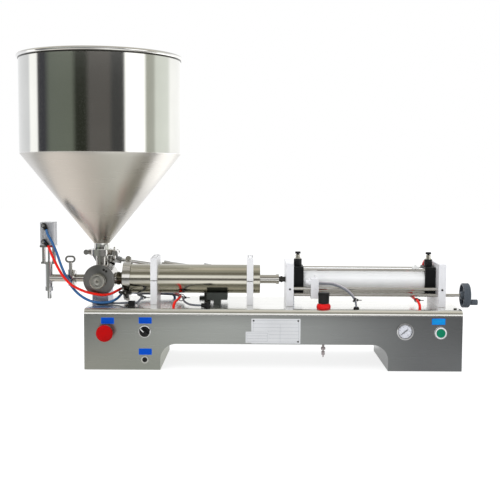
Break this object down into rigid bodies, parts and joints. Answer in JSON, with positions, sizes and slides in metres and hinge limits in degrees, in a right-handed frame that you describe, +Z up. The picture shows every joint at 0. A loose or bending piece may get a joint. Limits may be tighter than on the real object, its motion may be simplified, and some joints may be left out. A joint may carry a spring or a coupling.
{
  "type": "piston dispenser",
  "caption": "Bench-top pneumatic piston filler: round hopper over a rotary valve, material and air cylinders in line, shut-off nozzle at the left, hand wheel for the volume.",
  "frame": {"origin": "on the bench, under the middle of the whole machine's bounding box", "axes": "+X along the machine towards the hand wheel, +Y to the back, +Z up; the switch panel faces -Y"},
  "size_m": [1.1258, 0.4046, 0.7515],
  "materials": {
    "chassis": "fine brushed",
    "rear_cover": "fine brushed",
    "cap_screws": "dark, satin",
    "switch_housings": "bright bezels on dark plastic bodies",
    "gauge_case": "bright",
    "gauge_glass": "clear",
    "label_plates": "blue and white, left blank",
    "valve_body": "satin",
    "valve_cover": "satin",
    "actuator_cylinder": "polished tube",
    "actuator_bracket": "dark, satin",
    "valve_post": "anodised, satin",
    "cylinder_saddle": "dark grey, satin",
    "hopper": "polished outside",
    "pipe_clamps": "polished",
    "outlet_pipe": "polished",
    "nozzle_body": "polished",
    "nozzle_yoke": "polished",
    "nozzle_cylinder": "anodised, satin",
    "hose_fittings": "black",
    "cylinder_inlet": "polished",
    "material_cylinder": "polished",
    "cylinder_brackets": "anodised, satin",
    "gaskets": "white",
    "air_caps": "black, satin",
    "air_barrel": "anodised, bright",
    "fixed_rods": "bright",
    "end_plates": "anodised, satin",
    "flow_controllers": "black body, nickel neck",
    "regulator_body": "dark",
    "regulator_ring": "red",
    "filter_bowl": "dark",
    "air_hoses": "red and blue tube",
    "grey_cables": "grey jacket",
    "air_inlet": "nickel plated",
    "stop_stem": "dark",
    "stop_head": "red",
    "selector_knob": "black",
    "start_button": "green",
    "gauge_needle": "black",
    "valve_rotor": "turned",
    "valve_knob": "turned, circular marks",
    "valve_lever": "satin",
    "actuator_rod": "polished",
    "hopper_wing_nut": "polished",
    "outlet_ring_nut": "satin",
    "cylinder_wing_nut": "satin",
    "nozzle_rod": "ground",
    "material_piston": "turned",
    "piston_seals": "white",
    "coupling_rod": "turned",
    "air_piston": "ground rod",
    "sensor_block": "anodised, satin",
    "sensor_cable": "grey jacket",
    "lead_screw": "bright thread",
    "hand_wheel": "slate grey, satin",
    "crank_knob": "slate grey, satin",
    "flow_knob_left": "black",
    "flow_knob_right": "black",
    "regulator_knob": "black"
  },
  "bodies": {
    "machine": {"chassis": "chassis", "rear_cover": "rear_cover", "cap_screws": "cap_screws", "switch_housings": "switch_housings", "gauge_case": "gauge_case", "gauge_glass": "gauge_glass", "label_plates": "label_plates", "valve_body": "valve_body", "valve_cover": "valve_cover", "actuator_cylinder": "actuator_cylinder", "actuator_bracket": "actuator_bracket", "valve_post": "valve_post", "cylinder_saddle": "cylinder_saddle", "hopper": "hopper", "pipe_clamps": "pipe_clamps", "outlet_pipe": "outlet_pipe", "nozzle_body": "nozzle_body", "nozzle_yoke": "nozzle_yoke", "nozzle_cylinder": "nozzle_cylinder", "hose_fittings": "hose_fittings", "cylinder_inlet": "cylinder_inlet", "material_cylinder": "material_cylinder", "cylinder_brackets": "cylinder_brackets", "gaskets": "gaskets", "air_caps": "air_caps", "air_barrel": "air_barrel", "fixed_rods": "fixed_rods", "end_plates": "end_plates", "flow_controllers": "flow_controllers", "regulator_body": "regulator_body", "regulator_ring": "regulator_ring", "filter_bowl": "filter_bowl", "air_hoses": "air_hoses", "grey_cables": "grey_cables", "air_inlet": "air_inlet", "sensor_cable": "sensor_cable"},
    "valve_rotor_set": {"valve_rotor": "valve_rotor", "valve_knob": "valve_knob", "valve_lever": "valve_lever"},
    "actuator_rod": {"actuator_rod": "actuator_rod"},
    "pistons": {"material_piston": "material_piston", "piston_seals": "piston_seals", "coupling_rod": "coupling_rod", "air_piston": "air_piston"},
    "wheel": {"hand_wheel": "hand_wheel", "lead_screw": "lead_screw"},
    "crank_knob": {"crank_knob": "crank_knob"},
    "sensor_block": {"sensor_block": "sensor_block"},
    "nozzle_rod": {"nozzle_rod": "nozzle_rod"},
    "stop_plunger": {"stop_stem": "stop_stem"},
    "stop_head": {"stop_head": "stop_head"},
    "selector": {"selector_knob": "selector_knob"},
    "start_button": {"start_button": "start_button"},
    "needle": {"gauge_needle": "gauge_needle"},
    "regulator_knob": {"regulator_knob": "regulator_knob"},
    "flow_knob_left": {"flow_knob_left": "flow_knob_left"},
    "flow_knob_right": {"flow_knob_right": "flow_knob_right"},
    "hopper_wing_nut": {"hopper_wing_nut": "hopper_wing_nut"},
    "outlet_ring_nut": {"outlet_ring_nut": "outlet_ring_nut"},
    "cylinder_wing_nut": {"cylinder_wing_nut": "cylinder_wing_nut"}
  },
  "joints": [
    {"name": "valve_turn", "type": "hinge", "parent": "machine", "child": "valve_rotor_set", "pos_m": [-0.3605, 0, 0.205], "axis": [0, 1, 0], "range_deg": [-40, 20]},
    {"name": "actuator_stroke", "type": "slide", "parent": "machine", "child": "actuator_rod", "axis": [0.9903, 0, -0.1392], "range_m": [-0.034, 0.0172]},
    {"name": "piston_stroke", "type": "slide", "parent": "machine", "child": "pistons", "axis": [1, 0, 0], "range_m": [-0.25, 0]},
    {"name": "hand_wheel_turn", "type": "hinge", "parent": "machine", "child": "wheel", "pos_m": [0.528, -0.055, 0.174], "axis": [1, 0, 0], "range_deg": [-14400, 1800]},
    {"name": "crank_knob_spin", "type": "hinge", "parent": "wheel", "child": "crank_knob", "pos_m": [0.5455, -0.06985, 0.15915], "axis": [1, 0, 0], "continuous": true},
    {"name": "sensor_slide", "type": "slide", "parent": "machine", "child": "sensor_block", "axis": [1, 0, 0], "range_m": [-0.0252, 0.2002], "deforming": ["sensor_cable"]},
    {"name": "nozzle_lift", "type": "slide", "parent": "machine", "child": "nozzle_rod", "axis": [0, 0, 1], "range_m": [0, 0.01]},
    {"name": "stop_push", "type": "slide", "parent": "machine", "child": "stop_plunger", "axis": [0, 1, 0], "range_m": [0, 0.005]},
    {"name": "stop_twist", "type": "hinge", "parent": "stop_plunger", "child": "stop_head", "pos_m": [-0.3323, -0.148, 0.091], "axis": [0, 1, 0], "range_deg": [0, 40], "stiffness_Nm_per_rad": 0.05},
    {"name": "selector_turn", "type": "hinge", "parent": "machine", "child": "selector", "pos_m": [-0.2396, -0.13, 0.093], "axis": [0, 1, 0], "range_deg": [0, 90]},
    {"name": "start_push", "type": "slide", "parent": "machine", "child": "start_button", "axis": [0, 1, 0], "range_m": [0, 0.003], "stiffness_N_per_m": 800, "springref_m": -0.002},
    {"name": "needle_turn", "type": "hinge", "parent": "machine", "child": "needle", "pos_m": [0.3789, -0.126, 0.096], "axis": [0, 1, 0], "range_deg": [0, 270], "stiffness_Nm_per_rad": 0.0005},
    {"name": "regulator_turn", "type": "hinge", "parent": "machine", "child": "regulator_knob", "pos_m": [0.187, -0.098, 0.17], "axis": [0, 0, 1], "range_deg": [-720, 720]},
    {"name": "flow_turn_left", "type": "hinge", "parent": "machine", "child": "flow_knob_left", "pos_m": [0.129, 0, 0.27], "axis": [0, 0, 1], "range_deg": [-720, 720]},
    {"name": "flow_turn_right", "type": "hinge", "parent": "machine", "child": "flow_knob_right", "pos_m": [0.455, 0, 0.27], "axis": [0, 0, 1], "range_deg": [-720, 720]},
    {"name": "hopper_nut_turn", "type": "hinge", "parent": "machine", "child": "hopper_wing_nut", "pos_m": [-0.3235, -0.02, 0.271], "axis": [0, -1, 0], "range_deg": [0, 720]},
    {"name": "outlet_nut_turn", "type": "hinge", "parent": "machine", "child": "outlet_ring_nut", "pos_m": [-0.434, -0.027, 0.225], "axis": [0, 0, 1], "range_deg": [0, 720]},
    {"name": "cylinder_nut_turn", "type": "hinge", "parent": "machine", "child": "cylinder_wing_nut", "pos_m": [-0.296, -0.03841, 0.16995], "axis": [0, -0.9063, 0.4226], "range_deg": [0, 720]}
  ],
  "couplings": [
    {"joint": "actuator_stroke", "follows": "valve_turn", "m_per_rad": 0.0481},
    {"joint": "sensor_slide", "follows": "hand_wheel_turn", "m_per_rad": -0.00079577}
  ]
}
